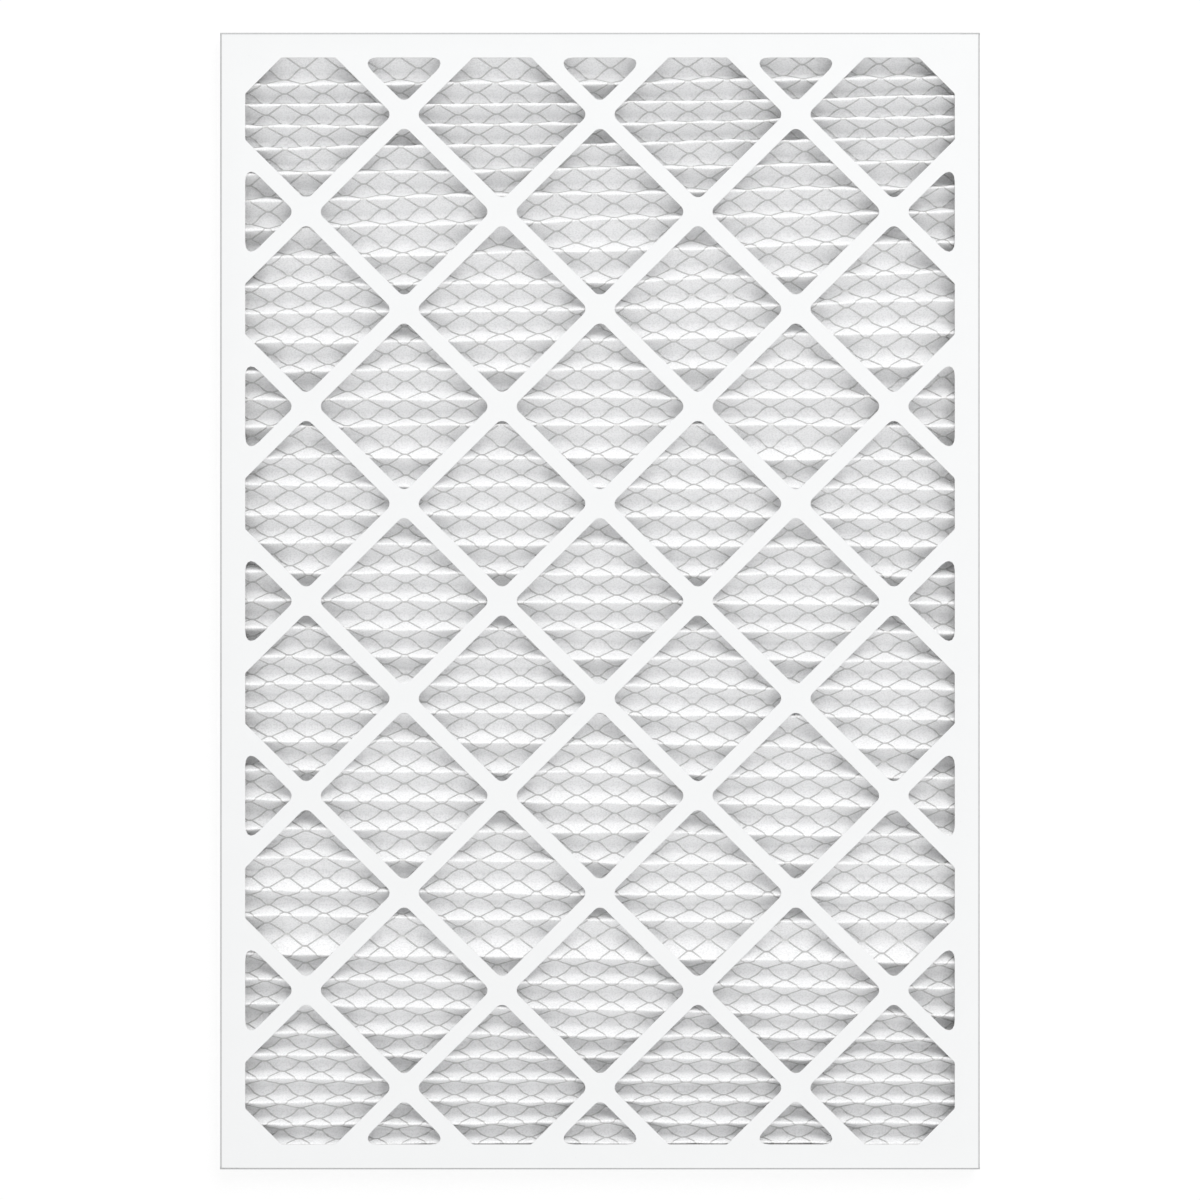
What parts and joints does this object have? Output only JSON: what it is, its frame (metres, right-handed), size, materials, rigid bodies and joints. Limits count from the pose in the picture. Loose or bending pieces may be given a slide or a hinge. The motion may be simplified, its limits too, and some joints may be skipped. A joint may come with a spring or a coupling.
{
  "type": "pleated panel air filter",
  "caption": "Flat ventilation filter: pleated white media with an expanded-metal backing, glued into a shallow die-cut board frame with diagonal lattice faces.",
  "frame": {"origin": "middle of the rear (air-entering) face, on the surface that the filter lies on", "axes": "+Z out of the front (air-leaving, metal-backed) face, +Y along the long side from foot to head, X along the pleats"},
  "size_m": [0.4984, 0.746, 0.019],
  "materials": {
    "front_board": "white clay-coated board, satin",
    "rear_board": "white clay-coated board, satin",
    "media": "white nonwoven, matt",
    "backing": "galvanised, dull",
    "glue": "dried white glue"
  },
  "bodies": {
    "root": {"front_frame": "front_board", "rear_frame": "rear_board", "pleated_media": "media", "mesh_backing": "backing", "right_edge_glue": "glue", "left_edge_glue": "glue", "head_edge_glue": "glue", "foot_edge_glue": "glue"}
  },
  "joints": []
}
